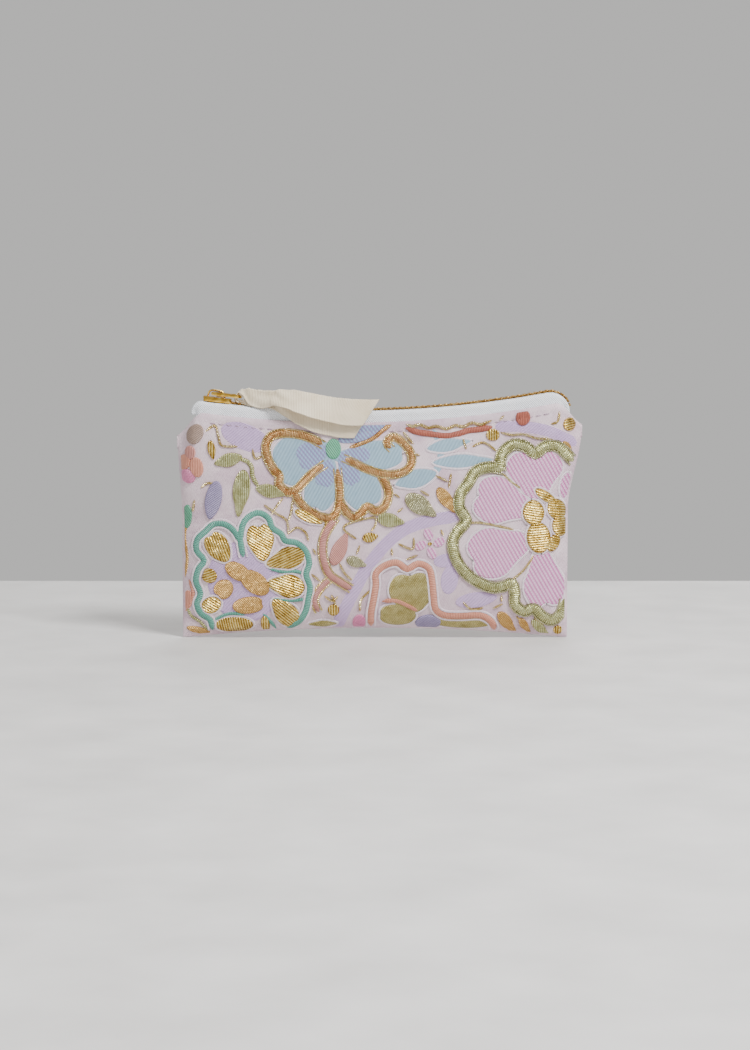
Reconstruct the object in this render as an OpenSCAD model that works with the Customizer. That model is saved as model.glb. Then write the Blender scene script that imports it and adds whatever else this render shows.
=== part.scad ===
// Small zip pouch: two crowned fabric walls with interfacing and lining, a brass
// size 3 zip along the top, and a ribbon tied through the slider's pull tab.
// The pouch stands upright. X runs along the zip, the front faces -Y, Z is up.

/* [Pouch] */
// Width across the shoulders
pouch_w = 150; // [140:1:160]
// Greatest thickness of the filled pouch
pouch_t = 19; // [17:0.5:24]
// How far the middle of the bottom edge stands off the table
bottom_arch = 3.4; // [2:0.2:5]
// How far the fabric edge lies below the zip's teeth
zip_reveal = 4.4; // [4.2:0.1:5]
// Thickness of the outer fabric
outer_t = 0.9; // [0.7:0.05:1]
// Thickness of the interfacing
interfacing_t = 0.45; // [0.3:0.05:0.5]
// Thickness of the lining
lining_t = 0.4; // [0.25:0.05:0.5]

/* [Zip] */
// Distance between neighbouring teeth on one tape
tooth_pitch = 2.1; // [2.1:0.05:2.3]
// Radius of the shallow arc that the closed zip follows
zip_r = 400; // [390:10:460]
// Height of the teeth at the lowest point of that arc
zip_z = 84.6; // [83:0.2:86]
// Thickness of the woven zip tape
tape_t = 0.54; // [0.4:0.02:0.56]
// Length of the slider
slider_len = 10.4; // [10:0.1:11]

/* [Pull] */
// Length of the pull tab
tab_len = 10.9; // [10.7:0.1:11.7]
// Thickness of the pull tab
tab_t = 1.2; // [1:0.05:1.3]
// Width of the ribbon
ribbon_w = 9.5; // [8:0.1:10]
// Thickness of the ribbon
ribbon_t = 0.5; // [0.4:0.05:0.5]

/* [Stitching] */
// Length of one stitch
stitch_len = 2.2; // [1.8:0.1:2.4]
// Distance from one stitch to the next
stitch_step = 3; // [2.8:0.1:4]
// Thickness of the sewing thread
thread_d = 0.36; // [0.3:0.02:0.4]

/* [Hidden] */
$fn = 32;

half_w = pouch_w / 2;
crown = pouch_t / 2;              // half thickness at the fullest point
seam_gap = 0.03;                  // from the middle plane to each wall's edge
crown_height = 0.42;              // share of the height at which the wall is fullest
top_share = 0.61;                 // half thickness at the zip, as a share of the crown
shoulder_start = 64;              // where the top edge begins to fall to a shoulder
shoulder_drop = 10.8;
rest_cut = 0.3;                   // depth of the flat on each wall where the pouch can lie down
columns = 26;                     // grid of each fabric wall
rows = 16;

// Depths of the layers below the outer surface
interfacing_d = outer_t + 0.05;
tape_d = interfacing_d + interfacing_t + 0.25;
lining_d = tape_d + tape_t / top_share + 0.45;
allowance = 1.0;                  // extra room at the edges for the seam threads

// The arc of the zip and its two turned-down ends
zip_x = -11;                      // the arc's lowest point
arc_left = -54.2;                 // ends of the arc, as lengths along it from the lowest point
arc_right = 73.4;
bend_left = 4;                    // radii of the turned-down ends
bend_right = 7;
tape_left = -60;                  // ends of the tapes, as lengths along the same line
tape_right = 83.8;

tooth_t = 1.25;                   // a tooth's thickness along the zip at its jaws
head_t = 0.8;                     // and at its interlocking head
tooth_h = 2.3;
jaw_reach = 2.3;                  // how far the jaws reach across the tape
jaw_end = 0.7;                    // where the jaws end and the head begins
head_reach = 0.62;                // how far the head passes the zip's middle
slot_room = 0.05;                 // between a tooth's slot and the tape in it
tape_edge = 0.85;                 // from the zip's middle to the edge of each tape
tape_turn = 4.7;                  // from the zip's middle to where the tape hangs down
teeth_below = 12;                 // how far the tape hangs below the teeth

slider_s = -49.4;                 // where the slider stands when the zip is closed
first_tooth_s = slider_s - 2.1;
slider_half_w = 3.8;
slider_tail_half_w = 3.3;
plate_in = 1.4;                   // plates of the slider, measured from the teeth's middle
plate_out = 2.15;
pin_x = -2;                       // pivot of the pull tab, in the slider's frame
pin_z = 3.4;
pin_r = 0.55;

// Ribbon: x, y, z, turn of its width from level to upright, and half of its width there, for a
// ribbon of the route's width
route_w = 9.5;
ribbon_route = [
    [0, -6.3, 84.4, 84, 4.7], [-6, -6.3, 84.6, 84, 4.7], [-12, -6.4, 85.2, 84, 4.7],
    [-18, -6.5, 86.2, 84, 4.6], [-24, -6.5, 87.5, 82, 4.4], [-30, -6.1, 88.8, 76, 4.0],
    [-35, -5.2, 89.6, 70, 3.4], [-40, -4.2, 89.8, 68, 2.6], [-44, -3.4, 89.5, 60, 3.0],
    [-48, -1.8, 89.1, 30, 2.6], [-50.8, -0.4, 88.6, 6, 1.7], [-52.5, 0, 88.9, 0, 1.4],
    [-53.2, 0, 90.1, 0, 1.4], [-52.5, 0, 91.5, 0, 1.4], [-50.8, -0.4, 92.0, 6, 1.7],
    [-48, -2.6, 91.6, 40, 2.8], [-44, -5.0, 90.6, 66, 3.2], [-40, -5.9, 88.9, 68, 2.8],
    [-35, -6.7, 87, 74, 3.6], [-30, -7.5, 85, 80, 4.2], [-24, -7.9, 83.2, 84, 4.5],
    [-18, -7.9, 81.9, 84, 4.6], [-12, -7.8, 81.1, 84, 4.7], [-6, -7.7, 80.6, 84, 4.7],
    [0, -7.7, 80.4, 84, 4.7]
];

function ease(a, b, x) = let(t = min(1, max(0, (x - a) / (b - a)))) t * t * (3 - 2 * t);
function mix(a, b, t) = a + (b - a) * t;
function degrees(length, radius) = length / radius * 180 / PI;

// ---- outline of the walls ----
function arc_z(x) = zip_z + zip_r - sqrt(zip_r * zip_r - (x - zip_x) * (x - zip_x));
function top_z(x) = arc_z(x) - zip_reveal - shoulder_drop * ease(shoulder_start, half_w + 1, abs(x));
function bottom_z(x) = bottom_arch * max(0, 1 - pow(x / (half_w - 3), 2));
function left_x(z) = -(half_w - 1.4 + 1.4 * ease(45, 74, z));
function right_x(z) = half_w - 4.8 + 4.8 * ease(48, 78, z);

// ---- a point of a wall: u from -1 to 1 across, v from 0 to 1 up, d below the outer surface ----
function across(u, v) = sqrt(max(0, 1 - pow(abs(u), 2.6 + 14 * pow(v, 3))));
function upward(v) = v < crown_height
    ? sqrt(max(0, 1 - pow(1 - v / crown_height, 2.2)))
    : 1 - (1 - top_share) * pow((v - crown_height) / (1 - crown_height), 2);
function half_thickness(u, v, d) = seam_gap + (crown - d - seam_gap) * across(u, v) * upward(v);
function wall_point(u, v, d, inset, furthest = crown) =
    let(x0 = (half_w - 1) * u,
        z = mix(bottom_z(x0) + inset, top_z(x0) - inset, v),
        x = mix(left_x(z) + inset, right_x(z) - inset, (u + 1) / 2))
    [x, -min(furthest, half_thickness(u, v, d)), z];

// ---- the zip's route ----
function arc_at(s) =
    let(a = degrees(s, zip_r))
    [zip_x + zip_r * sin(a), zip_z + zip_r * (1 - cos(a)), a];
function bent(start, radius, turned) =
    [
        start[0] + radius * (sin(start[2]) - sin(turned)),
        start[1] + radius * (cos(turned) - cos(start[2])),
        turned
    ];
function chain_at(s) =
    s > arc_right ? let(a = arc_at(arc_right)) bent(a, bend_right, a[2] - degrees(s - arc_right, bend_right))
    : s < arc_left ? let(a = arc_at(arc_left)) bent(a, bend_left, a[2] + degrees(arc_left - s, bend_left))
    : arc_at(s);
module on_chain(s) {
    p = chain_at(s);
    translate([p[0], 0, p[1]]) rotate([0, -p[2], 0]) children();
}

// Mirrors a front piece to the back
module to_back() {
    mirror([0, 1, 0]) children();
}

// ---- closed solids from rings of points ----
// Every ring has the same number of points, and the two end rings are capped
module rings_solid(rings) {
    n = len(rings[0]);
    m = len(rings);
    points = [for (ring = rings) for (p = ring) p];
    sides = [
        for (i = [0:m - 2]) for (j = [0:n - 1])
            let(k = (j + 1) % n)
            each [[i * n + j, i * n + k, (i + 1) * n + k], [i * n + j, (i + 1) * n + k, (i + 1) * n + j]]
    ];
    ends = [[for (j = [n - 1:-1:0]) j], [for (j = [0:n - 1]) (m - 1) * n + j]];
    polyhedron(points, concat(sides, ends), convexity = 6);
}

// A wall of even thickness between two depths, as one closed grid. Its outside is flat where it
// would stand further out than the given distance
module wall(depth, thickness, inset, furthest = crown) {
    u_at = [for (i = [0:columns]) sin(90 * (2 * i / columns - 1))];
    v_at = [for (j = [0:rows]) pow(j / rows, 1.7)];
    w = columns + 1;
    half = w * (rows + 1);
    outside = [for (v = v_at) for (u = u_at) wall_point(u, v, depth, inset, furthest)];
    inside = [for (v = v_at) for (u = u_at) wall_point(u, v, depth + thickness, inset + thickness)];
    faces = [
        for (j = [0:rows - 1]) for (i = [0:columns - 1])
            let(a = j * w + i, b = a + 1, c = b + w, e = a + w)
            each [[a, c, b], [a, e, c], [half + a, half + b, half + c], [half + a, half + c, half + e]]
    ];
    rim = [
        for (i = [0:columns - 1])
            let(a = i, b = i + 1, c = rows * w + i, e = c + 1)
            each [[a, b, half + b], [a, half + b, half + a], [c, half + e, e], [c, half + c, half + e]],
        for (j = [0:rows - 1])
            let(a = j * w, b = a + w, c = a + columns, e = c + w)
            each [[a, half + b, b], [a, half + a, half + b], [c, e, half + e], [c, half + e, half + c]]
    ];
    polyhedron(concat(outside, inside), concat(faces, rim), convexity = 6);
}

module outer_front() {
    color("#dccfd4") wall(0, outer_t, 0, crown - rest_cut);
}

module interfacing_front() {
    color("white") wall(interfacing_d, interfacing_t, interfacing_d + allowance);
}

module lining_front() {
    color("#efe6da") wall(lining_d, lining_t, lining_d + allowance);
}

// ---- zip tape ----
// Distance from the middle plane to a layer at a point of the wall
function wall_y(x, z, d, inset) =
    let(left = left_x(z) + inset,
        u = 2 * (x - left) / (right_x(z) - inset - left) - 1,
        x0 = (half_w - 1) * u,
        low = bottom_z(x0) + inset,
        v = (z - low) / (top_z(x0) - inset - low))
    half_thickness(u, min(1, max(0, v)), d);

// One slice across the front tape: from the teeth, over the turn and down between the layers
function tape_slice(s) =
    let(c = chain_at(s),
        back = interfacing_d + interfacing_t,
        inset = back + allowance,
        top = top_z(c[0]),
        low = top - teeth_below + zip_reveal,
        levels = [low, (low + top) / 2, top - 0.6],
        parted = tape_edge + 0.75 * (1 - ease(first_tooth_s - 1.8, first_tooth_s + 0.4, s)),
        turn = min(tape_turn, wall_y(c[0], top, tape_d, inset)),
        half_t = tape_t / 2,
        corner = [
            [-turn, -1], [-turn + 0.15, -0.1], [-turn + 0.5, half_t], [-parted, half_t],
            [-parted, -half_t], [-turn + 0.65, -half_t], [-turn + tape_t, -1]
        ])
    concat(
        [for (z = levels) [c[0], -wall_y(c[0], z, tape_d, inset), z]],
        [for (q = corner) [c[0] - sin(c[2]) * q[1], q[0], c[1] + cos(c[2]) * q[1]]],
        [for (i = [2:-1:0]) [c[0], -wall_y(c[0], levels[i], tape_d, inset) + tape_t, levels[i]]]
    );

module zip_tape_front() {
    stations = concat([for (s = [tape_left:0.8:arc_left - 0.1]) s], [for (s = [arc_left:4:arc_right - 1]) s],
        [for (s = [arc_right:0.8:tape_right]) s]);
    color("white") rings_solid([for (s = stations) tape_slice(s)]);
}

// ---- teeth and stops ----
// One tooth of the front tape: jaws that grip the tape and a head with a ridge
module tooth() {
    difference() {
        union() {
            translate([-tooth_t / 2, -jaw_reach, -tooth_h / 2])
                cube([tooth_t, jaw_reach - jaw_end, tooth_h]);
            translate([-head_t / 2, -jaw_end - 0.1, -tooth_h / 2 + 0.25])
                cube([head_t, jaw_end + 0.1 + head_reach, tooth_h - 0.5]);
        }
        translate([-tooth_t, -jaw_reach - 1, -tape_t / 2 - slot_room])
            cube([2 * tooth_t, jaw_reach + 1 - tape_edge + slot_room, tape_t + 2 * slot_room]);
    }
}

tooth_count = floor((arc_right + 9.6 - first_tooth_s) / tooth_pitch);

module zip_teeth_front() {
    color("#b08d57")
        for (i = [0:tooth_count - 1]) on_chain(first_tooth_s + i * tooth_pitch) tooth();
}

module zip_teeth_back() {
    color("#b08d57")
        for (i = [0:tooth_count - 1]) on_chain(first_tooth_s + (i + 0.5) * tooth_pitch) to_back() tooth();
}

// Bent metal clip on the edge of the front tape, in the slider's open mouth
module top_stop_front() {
    color("#b08d57") on_chain(slider_s) difference() {
        translate([-5, -2.95, -1]) cube([1.9, 1.4, 2]);
        translate([-6, -4, -tape_t / 2 - 0.03]) cube([4, 2.45, tape_t + 0.06]);
    }
}

module top_stop_back() {
    to_back() top_stop_front();
}

// One clip over both tapes just past the last tooth
module bottom_stop() {
    stop_w = 2;
    slot_h = tape_t + 0.45;
    last_s = first_tooth_s + tooth_count * tooth_pitch;
    color("#b08d57") on_chain(last_s + 0.4) difference() {
        translate([-0.6, -stop_w, -1]) cube([1, 2 * stop_w, 2]);
        for (side = [-1, 1])
            translate([-2, side > 0 ? tape_edge - 0.1 : -4 - tape_edge + 0.1, -slot_h / 2])
                cube([4, 4, slot_h]);
    }
}

// ---- slider ----
module slider_outline(grow) {
    mouth = slider_half_w + grow;
    tail = slider_tail_half_w + grow;
    end = slider_len / 2;
    polygon([
        [-end, -mouth + 0.9], [-end + 0.9, -mouth], [-0.6, -mouth], [1.6, -tail], [end - 0.8, -tail],
        [end, -tail + 0.8], [end, tail - 0.8], [end - 0.8, tail], [1.6, tail], [-0.6, mouth],
        [-end + 0.9, mouth], [-end, mouth - 0.9]
    ]);
}

module slider_body() {
    flange_w = 0.75;
    slot = 0.45;
    lock_slot = 1;
    color("#c9a24a") on_chain(slider_s) difference() {
        union() {
            difference() {
                translate([0, 0, -plate_out]) linear_extrude(2 * plate_out) slider_outline(0);
                difference() {
                    translate([0, 0, -plate_in]) linear_extrude(2 * plate_in)
                        square([slider_len + 2, 2 * slider_half_w + 2], center = true);
                    for (side = [-1, 1]) translate([0, 0, side > 0 ? slot : -plate_in - 1])
                        linear_extrude(plate_in + 1 - slot) difference() {
                            slider_outline(0);
                            slider_outline(-flange_w);
                            translate([slider_len / 2, 0])
                                square([6, 2 * (slider_tail_half_w - flange_w)], center = true);
                            translate([-slider_len / 2, 0])
                                square([6, 2 * (slider_half_w - flange_w)], center = true);
                        }
                }
            }
            translate([0, 0, -plate_in - 0.1]) linear_extrude(2 * plate_in + 0.2)
                polygon([[-4.7, 0], [-4, -0.9], [-3.4, -0.9], [-3.1, 0], [-3.4, 0.9], [-4, 0.9]]);
        }
        translate([1.2, -lock_slot / 2, 0.5]) cube([lock_slot, lock_slot, 3]);
    }
}

// Arched bridge on the slider that holds the pull tab's pin
module slider_crown() {
    crown_w = 1.7;
    arch = [
        [-4.1, plate_out + 0.02], [-3.4, plate_out + 0.02], [-3.1, 3.6], [-2.6, 4.15], [-1.8, 4.3],
        [1, 4.15], [2, 3.4], [2.2, plate_out + 0.02], [2.9, plate_out + 0.02], [2.7, 3.8], [1.4, 4.8],
        [-1.8, 4.95], [-3, 4.75], [-3.8, 3.9]
    ];
    color("#c9a24a") on_chain(slider_s)
        rotate([90, 0, 0]) translate([0, 0, -crown_w / 2]) linear_extrude(crown_w) polygon(arch);
}

// Spring blade under the crown whose tip drops between the teeth
module lock_pin() {
    pin_w = 0.7;
    color("#c9a24a") on_chain(slider_s)
        rotate([90, 0, 0]) translate([0, 0, -pin_w / 2]) linear_extrude(pin_w)
            polygon([[-0.6, 2.35], [1.4, 2.35], [1.4, 1.22], [1.95, 1.22], [1.95, 2.65], [-0.6, 2.65]]);
}

// ---- pull tab, lying along the slider at rest ----
module pull_tab() {
    tab_w = 4.8;
    window_w = 2.4;
    window_len = 5.5;
    eye = [2.1, 3.4];
    eye_bar = 1.5;
    round_x = tab_len - tab_w / 2;
    color("#c9a24a") on_chain(slider_s) translate([pin_x, 0, pin_z]) {
        difference() {
            union() {
                translate([0, -tab_w / 2, -tab_t / 2]) cube([round_x, tab_w, tab_t]);
                translate([round_x, 0, -tab_t / 2]) cylinder(h = tab_t, d = tab_w, $fn = 48);
            }
            translate([-1, -window_w / 2, -tab_t]) cube([window_len + 1, window_w, 2 * tab_t]);
            translate([tab_len - eye_bar - eye[0], -eye[1] / 2, -tab_t]) cube([eye[0], eye[1], 2 * tab_t]);
        }
        rotate([90, 0, 0]) cylinder(h = tab_w, r = pin_r, center = true, $fn = 32);
    }
}

// ---- ribbon ----
// A slice across the ribbon at one stage of its route, with its thickness across the way it runs
function ribbon_slice(i) =
    let(p = ribbon_route[i],
        before = ribbon_route[max(0, i - 1)],
        after = ribbon_route[min(len(ribbon_route) - 1, i + 1)],
        run = [after[0] - before[0], after[1] - before[1], after[2] - before[2]],
        wide = [0, cos(p[3]), sin(p[3])],
        across_run = cross(run, wide),
        thick = across_run / norm(across_run) * ribbon_t / 2,
        flat = wide * p[4] * ribbon_w / route_w,
        c = [p[0], p[1], p[2]])
    [c - flat + thick, c + flat + thick, c + flat - thick, c - flat - thick];

module ribbon() {
    color("#efe6d2") rings_solid([for (i = [0:len(ribbon_route) - 1]) ribbon_slice(i)]);
}

// ---- stitching ----
// Stitches that lie on the front wall below its top edge
module topstitch_front() {
    below_edge = 3;
    count = floor(2 * shoulder_start / stitch_step);
    color("#e9dfe3")
        for (i = [0:count - 1]) {
            x = (i - (count - 1) / 2) * stitch_step;
            u = x / (half_w - 1);
            v = 1 - below_edge / (top_z(x) - bottom_z(x));
            rise = (arc_z(x + 1) - arc_z(x - 1)) / 2;
            p = wall_point(u, v, 0, 0);
            translate([p[0], p[1] - thread_d / 2 - 0.08, p[2]]) rotate([0, 90 - atan(rise), 0])
                cylinder(h = stitch_len, d = thread_d, center = true, $fn = 16);
        }
}

// A round thread swept along a list of points
module thread_along(route, diameter) {
    sides = 8;
    last = len(route) - 1;
    rings_solid([
        for (i = [0:last])
            let(run = route[min(last, i + 1)] - route[max(0, i - 1)],
                out = [0, 1, 0],
                up = cross(run, out) / norm(cross(run, out)))
            [for (a = [0:360 / sides:359]) route[i] + diameter / 2 * (cos(a) * out - sin(a) * up)]
    ]);
}

seam_line = outer_t + 0.4 * allowance;   // the seam threads lie this far inside the edge

module side_seam_thread_left() {
    color("#e9dfe3") thread_along(
        [for (z = [4:3.5:70]) [left_x(z) + seam_line, 0, z]], thread_d);
}

module side_seam_thread_right() {
    color("#e9dfe3") thread_along(
        [for (z = [4:3.5:70]) [right_x(z) - seam_line, 0, z]], thread_d);
}

module bottom_seam_thread() {
    color("#e9dfe3") thread_along(
        [for (x = [-66:6:63]) [x, 0, bottom_z(x) + seam_line]], thread_d);
}

// The line that closes the lining, just above the lining's own edge
module lining_seam_thread() {
    color("#efe6da") thread_along(
        [for (x = [-60:6:57]) [x, 0, bottom_z(x) + lining_d + lining_t + allowance + 0.45]], thread_d);
}

outer_front();
to_back() outer_front();  // outer_back
interfacing_front();
to_back() interfacing_front();  // interfacing_back
lining_front();
to_back() lining_front();  // lining_back
zip_tape_front();
to_back() zip_tape_front();  // zip_tape_back
zip_teeth_front();
zip_teeth_back();
top_stop_front();
top_stop_back();
bottom_stop();
slider_body();
slider_crown();
lock_pin();
pull_tab();
ribbon();
topstitch_front();
to_back() topstitch_front();  // topstitch_back
side_seam_thread_left();
side_seam_thread_right();
bottom_seam_thread();
lining_seam_thread();
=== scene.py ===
"""Visible pieces of a small brocade zip pouch, built around its packed mechanical frame."""
import math

import bmesh
import bpy
from bpy.props import FloatProperty, FloatVectorProperty, IntProperty, PointerProperty
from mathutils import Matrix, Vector, noise


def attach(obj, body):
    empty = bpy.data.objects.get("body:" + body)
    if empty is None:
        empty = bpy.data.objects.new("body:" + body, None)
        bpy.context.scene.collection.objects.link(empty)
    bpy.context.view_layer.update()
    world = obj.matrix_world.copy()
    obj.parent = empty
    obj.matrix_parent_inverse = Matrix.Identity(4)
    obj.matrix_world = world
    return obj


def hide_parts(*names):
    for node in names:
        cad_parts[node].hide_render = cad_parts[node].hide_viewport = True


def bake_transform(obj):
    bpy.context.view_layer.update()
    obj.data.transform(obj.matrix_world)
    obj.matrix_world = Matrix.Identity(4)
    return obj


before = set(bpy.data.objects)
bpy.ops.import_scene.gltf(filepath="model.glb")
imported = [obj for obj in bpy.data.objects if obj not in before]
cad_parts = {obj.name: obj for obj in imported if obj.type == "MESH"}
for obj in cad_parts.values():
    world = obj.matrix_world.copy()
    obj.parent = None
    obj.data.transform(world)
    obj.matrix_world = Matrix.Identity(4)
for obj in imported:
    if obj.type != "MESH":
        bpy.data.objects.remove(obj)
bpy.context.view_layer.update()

bl_info = {
    "name": "Brocade zip pouch",
    "version": (1, 0, 0),
    "blender": (4, 5, 0),
    "location": "View3D > Sidebar > Pouch",
    "description": "Builds the cloth, zip, ribbon and stage of a small zip pouch",
    "category": "Object",
}

MM = 0.001
FRONT, BACK = -1, 1

# Pouch outline in millimetres, as the mechanical frame has it
HALF_W = 75.0
CROWN = 9.5
SEAM_GAP = 0.03
CROWN_HEIGHT = 0.42
TOP_SHARE = 0.61
SHOULDER_START = 64.0
SHOULDER_DROP = 10.8
BOTTOM_ARCH = 3.4
ZIP_REVEAL = 4.4
LINING_DEPTH = 3.0
INTERFACING_DEPTH = 1.0
TAPE_DEPTH = 1.65

# The zip's shallow arc and its turned-down ends
ZIP_X, ZIP_Z, ZIP_R = -11.0, 84.6, 400.0
ARC_LEFT, ARC_RIGHT = -54.2, 73.4
BEND_LEFT, BEND_RIGHT = 4.0, 7.0
TAPE_LEFT, TAPE_RIGHT = -62.0, 87.5
FIRST_TOOTH = -51.5
# The mouth parts between the top stops and the fully drawn slider
OPEN_MIDDLE, OPEN_HALF = -6.5, 57.5


# ---- shape of the walls ----
def mix(a, b, t):
    return a + (b - a) * t


def ease(a, b, x):
    t = min(1.0, max(0.0, (x - a) / (b - a)))
    return t * t * (3 - 2 * t)


def arc_z(x):
    return ZIP_Z + ZIP_R - math.sqrt(ZIP_R**2 - (x - ZIP_X) ** 2)


def top_z(x):
    return arc_z(x) - ZIP_REVEAL - SHOULDER_DROP * ease(SHOULDER_START, HALF_W + 1, abs(x))


def bottom_z(x):
    return BOTTOM_ARCH * max(0.0, 1 - (x / (HALF_W - 3)) ** 2)


def left_x(z):
    return -(HALF_W - 1.4 + 1.4 * ease(45, 74, z))


def right_x(z):
    return HALF_W - 4.8 + 4.8 * ease(48, 78, z)


def half_thickness(u, v, depth):
    """Distance from the middle plane to a layer that lies depth below the outer cloth."""
    v = min(1.0, max(0.0, v))
    across = math.sqrt(max(0.0, 1 - min(1.0, abs(u)) ** (2.6 + 14 * v**3)))
    if v < CROWN_HEIGHT:
        upward = math.sqrt(max(0.0, 1 - (1 - v / CROWN_HEIGHT) ** 2.2))
    else:
        upward = 1 - (1 - TOP_SHARE) * ((v - CROWN_HEIGHT) / (1 - CROWN_HEIGHT)) ** 2
    # the folded edges are sewn together where the shoulders drop to the side seams
    pinched = 1 - 0.8 * ease(0.9, 0.985, abs(u)) * ease(0.8, 1.0, v)
    return SEAM_GAP + (CROWN - depth - SEAM_GAP) * across * upward * pinched


def wall_point(u, v, depth, inset=0.0, top_inset=None):
    """u runs from -1 to 1 across the wall and v from 0 to 1 up it."""
    x0 = (HALF_W - 1) * u
    low = bottom_z(x0) + inset
    high = top_z(x0) - (inset if top_inset is None else top_inset)
    z = mix(low, high, v)
    x = mix(left_x(z) + inset, right_x(z) - inset, (u + 1) / 2)
    return x, half_thickness(u, v, depth), z


def wall_place(x, z):
    """The u and v of a place on the wall seen square on."""
    u = 2 * (x - left_x(z)) / (right_x(z) - left_x(z)) - 1
    x0 = (HALF_W - 1) * u
    return u, (z - bottom_z(x0)) / (top_z(x0) - bottom_z(x0))


def relief(u, v, x, z, side):
    """How far the cloth stands out or pulls in: soft dents, puckered side seams, the stitched groove."""
    near_seam = (1 - min(1.0, abs(u)) ** 30) * min(1.0, v * 18)
    dents = 0.6 * noise.noise(Vector((x / 23, z / 17, 4.2 * side)))
    dents += 0.26 * noise.noise(Vector((x / 8, z / 8, 1.7 * side)))
    seam = math.exp(-(1 - abs(u)) / 0.06)
    pucker = 0.3 * seam * math.sin(z * math.tau / 7.5 + 3 * noise.noise(Vector((z / 14, u * 3, side))))
    below = (1 - v) * (top_z(x) - bottom_z(x))
    groove = -0.32 * math.exp(-(((below - 3) / 0.75) ** 2)) * (0.65 + 0.35 * math.cos(x * math.tau / 3))
    groove *= 1 - ease(SHOULDER_START - 2, SHOULDER_START + 2, abs(x))
    rim = 0.22 * math.exp(-(((below - 1.2) / 0.8) ** 2))
    return near_seam * (dents * min(1.0, below / 6 + 0.35) + pucker + groove + rim)


def cloth_point(u, v, side):
    x, y, z = wall_point(u, v, 0)
    return Vector((x, side * (y + relief(u, v, x, z, side)), z))


def on_cloth(u, v, side, lift):
    """A point in metres, lifted off the outer cloth along its normal."""
    step = 0.004
    u = min(1 - 2 * step, max(2 * step - 1, u))
    v = min(1 - step, max(step, v))
    along = cloth_point(u + step, v, side) - cloth_point(u - step, v, side)
    up = cloth_point(u, v + step, side) - cloth_point(u, v - step, side)
    normal = along.cross(up).normalized() * -side
    return (cloth_point(u, v, side) + normal * lift) * MM


def chain_at(s):
    """x, z and slope in radians at a length along the zip."""

    def arc(length):
        a = length / ZIP_R
        return ZIP_X + ZIP_R * math.sin(a), ZIP_Z + ZIP_R * (1 - math.cos(a)), a

    def bent(start, radius, turned):
        x, z, a = start
        return (
            x + radius * (math.sin(a) - math.sin(turned)),
            z + radius * (math.cos(turned) - math.cos(a)),
            turned,
        )

    if s > ARC_RIGHT:
        start = arc(ARC_RIGHT)
        return bent(start, BEND_RIGHT, start[2] - (s - ARC_RIGHT) / BEND_RIGHT)
    if s < ARC_LEFT:
        start = arc(ARC_LEFT)
        return bent(start, BEND_LEFT, start[2] + (ARC_LEFT - s) / BEND_LEFT)
    return arc(s)


# ---- making and finishing pieces ----
def add_piece(name, bm, material, smooth=True):
    mesh = bpy.data.meshes.new(name)
    bm.to_mesh(mesh)
    bm.free()
    for polygon in mesh.polygons:
        polygon.use_smooth = smooth
    piece = bpy.data.objects.new(name, mesh)
    bpy.context.scene.collection.objects.link(piece)
    piece.data.materials.append(material)
    return piece


def apply_modifiers(piece):
    graph = bpy.context.evaluated_depsgraph_get()
    mesh = bpy.data.meshes.new_from_object(piece.evaluated_get(graph))
    piece.modifiers.clear()
    piece.data = mesh


def give_thickness(piece, thickness, offset=-1.0):
    solid = piece.modifiers.new("Thickness", "SOLIDIFY")
    solid.thickness = thickness * MM
    solid.offset = offset
    apply_modifiers(piece)


def opening_share(co):
    """How much of the back wall's swing a point takes: none at the side seams, all in the middle."""
    across = min(1.0, abs(co.x / MM - OPEN_MIDDLE) / OPEN_HALF)
    return (1 - across**2.2) ** 1.2


def mount(piece, side):
    """Front pieces stay with the pouch; back pieces get their placement baked in, and each point's share of
    the back wall's swing is worked out but not used.
    """
    if side == FRONT:
        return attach(piece, "pouch")
    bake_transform(piece)
    shares = [opening_share(vertex.co) for vertex in piece.data.vertices]
    return piece


def face_outward(bm, side):
    """Turns an open sheet so that its faces look away from the pouch."""
    bm.normal_update()
    middle = sum(face.normal.y for face in bm.faces)
    if middle * side < 0:
        bmesh.ops.reverse_faces(bm, faces=bm.faces)


def sheet_grid(columns, rows, place):
    """A grid whose points go where place(u, t) says, with u from -1 to 1 and t from 0 to 1."""
    bm = bmesh.new()
    bmesh.ops.create_grid(bm, x_segments=columns, y_segments=rows, size=1.0)
    for vertex in bm.verts:
        vertex.co = place(vertex.co.x, (vertex.co.y + 1) / 2)
    return bm


# ---- materials ----
def linear(text):
    """A linear colour from an sRGB hex value."""
    parts = [int(text[i : i + 2], 16) / 255 for i in (1, 3, 5)]
    parts = [c / 12.92 if c <= 0.04045 else ((c + 0.055) / 1.055) ** 2.4 for c in parts]
    return (*parts, 1.0)


def add_node(tree, kind, settings=None, **links):
    """Adds one node; links give a value or another node's output for each input."""
    node = tree.nodes.new(kind)
    for key, value in (settings or {}).items():
        setattr(node, key, value)
    for key, value in links.items():
        socket = node.inputs[int(key[1:]) if key[0] == "_" else key.replace("_", " ")]
        if isinstance(value, bpy.types.NodeSocket):
            tree.links.new(value, socket)
        else:
            socket.default_value = value
    return node


def weighted(tree, value, factor, added):
    """value times factor, plus added, as a node's output."""
    settings = {"operation": "MULTIPLY_ADD"}
    return add_node(tree, "ShaderNodeMath", settings, _0=value, _1=factor, _2=added).outputs[0]


def new_material(name):
    material = bpy.data.materials.new(name)
    material.use_nodes = True
    tree = material.node_tree
    tree.nodes.clear()
    return material, tree


def ramp(tree, factor, stops):
    node = add_node(tree, "ShaderNodeValToRGB", Fac=factor)
    elements = node.color_ramp.elements
    while len(elements) < len(stops):
        elements.new(0.5)
    for element, (position, text) in zip(elements, stops):
        element.position = position
        element.color = linear(text)
    return node.outputs["Color"]


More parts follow.
